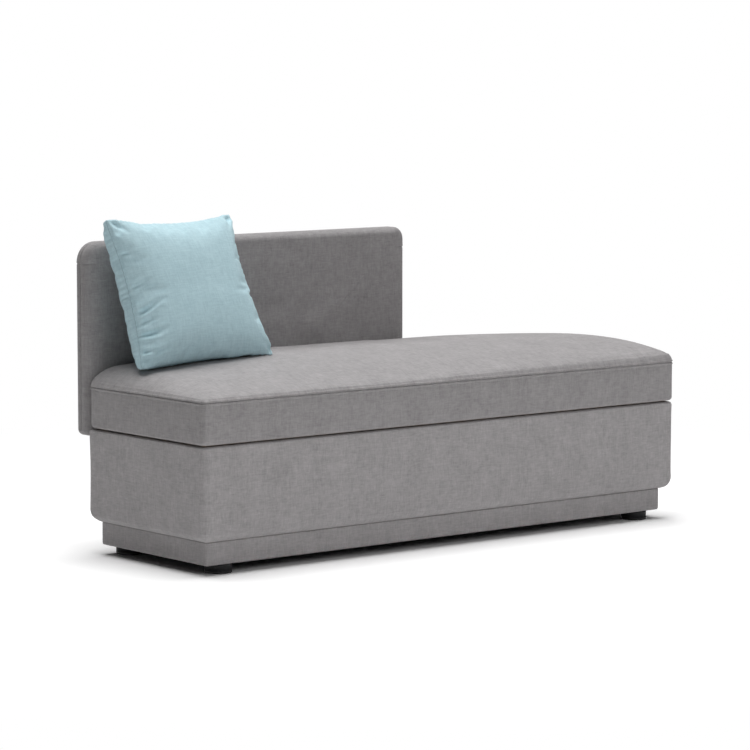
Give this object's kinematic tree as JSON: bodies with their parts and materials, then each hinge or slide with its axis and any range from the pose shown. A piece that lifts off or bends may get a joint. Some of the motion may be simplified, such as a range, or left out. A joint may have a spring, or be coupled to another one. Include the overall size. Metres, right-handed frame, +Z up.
{
  "type": "single-seat curved sofa",
  "caption": "Low upholstered chaise with one square end, one curved end, a short padded back panel, a recessed plinth on round feet and a loose square pillow.",
  "frame": {"origin": "on the floor, under the middle of the bounding box", "axes": "+X along the straight front towards the curved end, +Y from the front to the back panel, +Z up"},
  "size_m": [1.5, 0.5214, 0.8134],
  "materials": {
    "grey_fabric": "woven, matt",
    "blue_fabric": "linen weave, matt",
    "black_cloth": "thin non-woven cloth",
    "webbing": "elastic webbing",
    "foam": "upholstery foam",
    "wadding": "fibre wadding",
    "timber": "planed softwood",
    "plywood": "plywood",
    "black_plastic": "moulded, satin",
    "zinc": "zinc plated"
  },
  "bodies": {
    "sofa": {"base_bearer_left": "timber", "base_bearer_right": "timber", "base_board_back": "plywood", "base_board_curved": "plywood", "base_board_front": "plywood", "base_board_left": "plywood", "base_cover": "grey_fabric", "base_deck": "plywood", "base_rib_left": "plywood", "base_rib_right": "plywood", "base_wadding": "wadding", "corner_block_back_left": "timber", "corner_block_back_right": "timber", "corner_block_front_left": "timber", "corner_block_front_right": "timber", "panel_back_cover": "grey_fabric", "panel_back_foam": "foam", "panel_board": "plywood", "panel_bolt_1": "zinc", "panel_bolt_2": "zinc", "panel_bolt_3": "zinc", "panel_front_cover": "grey_fabric", "panel_front_foam": "foam", "plinth_cover": "grey_fabric", "plinth_dust_cloth": "black_cloth", "plinth_rail_back": "timber", "plinth_rail_curved": "timber", "plinth_rail_front": "timber", "plinth_rail_left": "timber", "seat_bolt_left_back": "zinc", "seat_bolt_left_front": "zinc", "seat_bolt_right_back": "zinc", "seat_bolt_right_front": "zinc", "seat_cross_rail_left": "timber", "seat_cross_rail_right": "timber", "seat_foam": "foam", "seat_rail_back": "timber", "seat_rail_curved": "timber", "seat_rail_front": "timber", "seat_rail_left": "timber", "seat_side_band": "grey_fabric", "seat_strap_1": "webbing", "seat_strap_2": "webbing", "seat_strap_3": "webbing", "seat_strap_4": "webbing", "seat_strap_5": "webbing", "seat_strap_6": "webbing", "seat_top_cover": "grey_fabric", "seat_underlining": "black_cloth"},
    "pillow": {"pillow_back_cover": "blue_fabric", "pillow_filling": "wadding", "pillow_front_cover": "blue_fabric"},
    "foot_front_left": {"foot_front_left": "black_plastic", "foot_stud_front_left": "zinc"},
    "foot_front_right": {"foot_front_right": "black_plastic", "foot_stud_front_right": "zinc"},
    "foot_back_left": {"foot_back_left": "black_plastic", "foot_stud_back_left": "zinc"},
    "foot_back_right": {"foot_back_right": "black_plastic", "foot_stud_back_right": "zinc"}
  },
  "joints": [
    {"name": "pillow_lift", "type": "slide", "parent": "sofa", "child": "pillow", "axis": [0, 0, 1], "range_m": [0, 0.32]},
    {"name": "foot_screw_front_left", "type": "slide", "parent": "sofa", "child": "foot_front_left", "axis": [0, 0, -1], "range_m": [0, 0.01]},
    {"name": "foot_screw_front_right", "type": "slide", "parent": "sofa", "child": "foot_front_right", "axis": [0, 0, -1], "range_m": [0, 0.01]},
    {"name": "foot_screw_back_left", "type": "slide", "parent": "sofa", "child": "foot_back_left", "axis": [0, 0, -1], "range_m": [0, 0.01]},
    {"name": "foot_screw_back_right", "type": "slide", "parent": "sofa", "child": "foot_back_right", "axis": [0, 0, -1], "range_m": [0, 0.01]}
  ]
}
